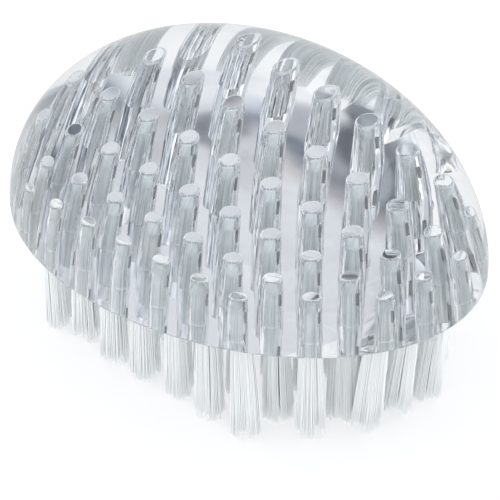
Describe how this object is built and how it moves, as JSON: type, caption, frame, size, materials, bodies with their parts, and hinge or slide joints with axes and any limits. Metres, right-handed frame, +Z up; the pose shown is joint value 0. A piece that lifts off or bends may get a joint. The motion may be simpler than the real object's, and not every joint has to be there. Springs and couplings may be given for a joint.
{
  "type": "nail brush",
  "caption": "Oval domed nail brush: a solid clear acrylic handle with blind holes in its flat underside, each holding a tuft of white nylon bristle.",
  "frame": {"origin": "on the plane of the bristle tips, under the centre of the handle", "axes": "+X along the handle's length, +Y across its width, +Z up from the bristle tips through the top of the dome"},
  "size_m": [0.08, 0.06, 0.0459],
  "materials": {
    "clear_acrylic": "polished, clear and colourless",
    "white_nylon": "translucent white monofilament"
  },
  "bodies": {
    "root": {"handle": "clear_acrylic", "tuft_a_05": "white_nylon", "tuft_a_06": "white_nylon", "tuft_a_07": "white_nylon", "tuft_a_08": "white_nylon", "tuft_a_09": "white_nylon", "tuft_b_02": "white_nylon", "tuft_b_03": "white_nylon", "tuft_b_04": "white_nylon", "tuft_b_05": "white_nylon", "tuft_b_06": "white_nylon", "tuft_b_07": "white_nylon", "tuft_b_08": "white_nylon", "tuft_b_09": "white_nylon", "tuft_c_02": "white_nylon", "tuft_c_03": "white_nylon", "tuft_c_04": "white_nylon", "tuft_c_05": "white_nylon", "tuft_c_06": "white_nylon", "tuft_c_07": "white_nylon", "tuft_c_08": "white_nylon", "tuft_c_09": "white_nylon", "tuft_d_02": "white_nylon", "tuft_d_03": "white_nylon", "tuft_d_04": "white_nylon", "tuft_d_05": "white_nylon", "tuft_d_06": "white_nylon", "tuft_d_07": "white_nylon", "tuft_d_08": "white_nylon", "tuft_d_09": "white_nylon", "tuft_d_10": "white_nylon", "tuft_e_02": "white_nylon", "tuft_e_03": "white_nylon", "tuft_e_04": "white_nylon", "tuft_e_05": "white_nylon", "tuft_e_06": "white_nylon", "tuft_e_07": "white_nylon", "tuft_e_08": "white_nylon", "tuft_e_09": "white_nylon", "tuft_e_10": "white_nylon", "tuft_f_02": "white_nylon", "tuft_f_03": "white_nylon", "tuft_f_04": "white_nylon", "tuft_f_05": "white_nylon", "tuft_f_06": "white_nylon", "tuft_f_07": "white_nylon", "tuft_f_08": "white_nylon", "tuft_f_09": "white_nylon", "tuft_f_10": "white_nylon", "tuft_g_03": "white_nylon", "tuft_g_04": "white_nylon", "tuft_g_05": "white_nylon", "tuft_g_06": "white_nylon", "tuft_g_07": "white_nylon", "tuft_g_08": "white_nylon", "tuft_g_09": "white_nylon", "tufts_a_03_a_04": "white_nylon", "tufts_b_10_c_10": "white_nylon", "tufts_c_01_d_01_e_01": "white_nylon", "tufts_c_11_d_11_e_11": "white_nylon"}
  },
  "joints": []
}
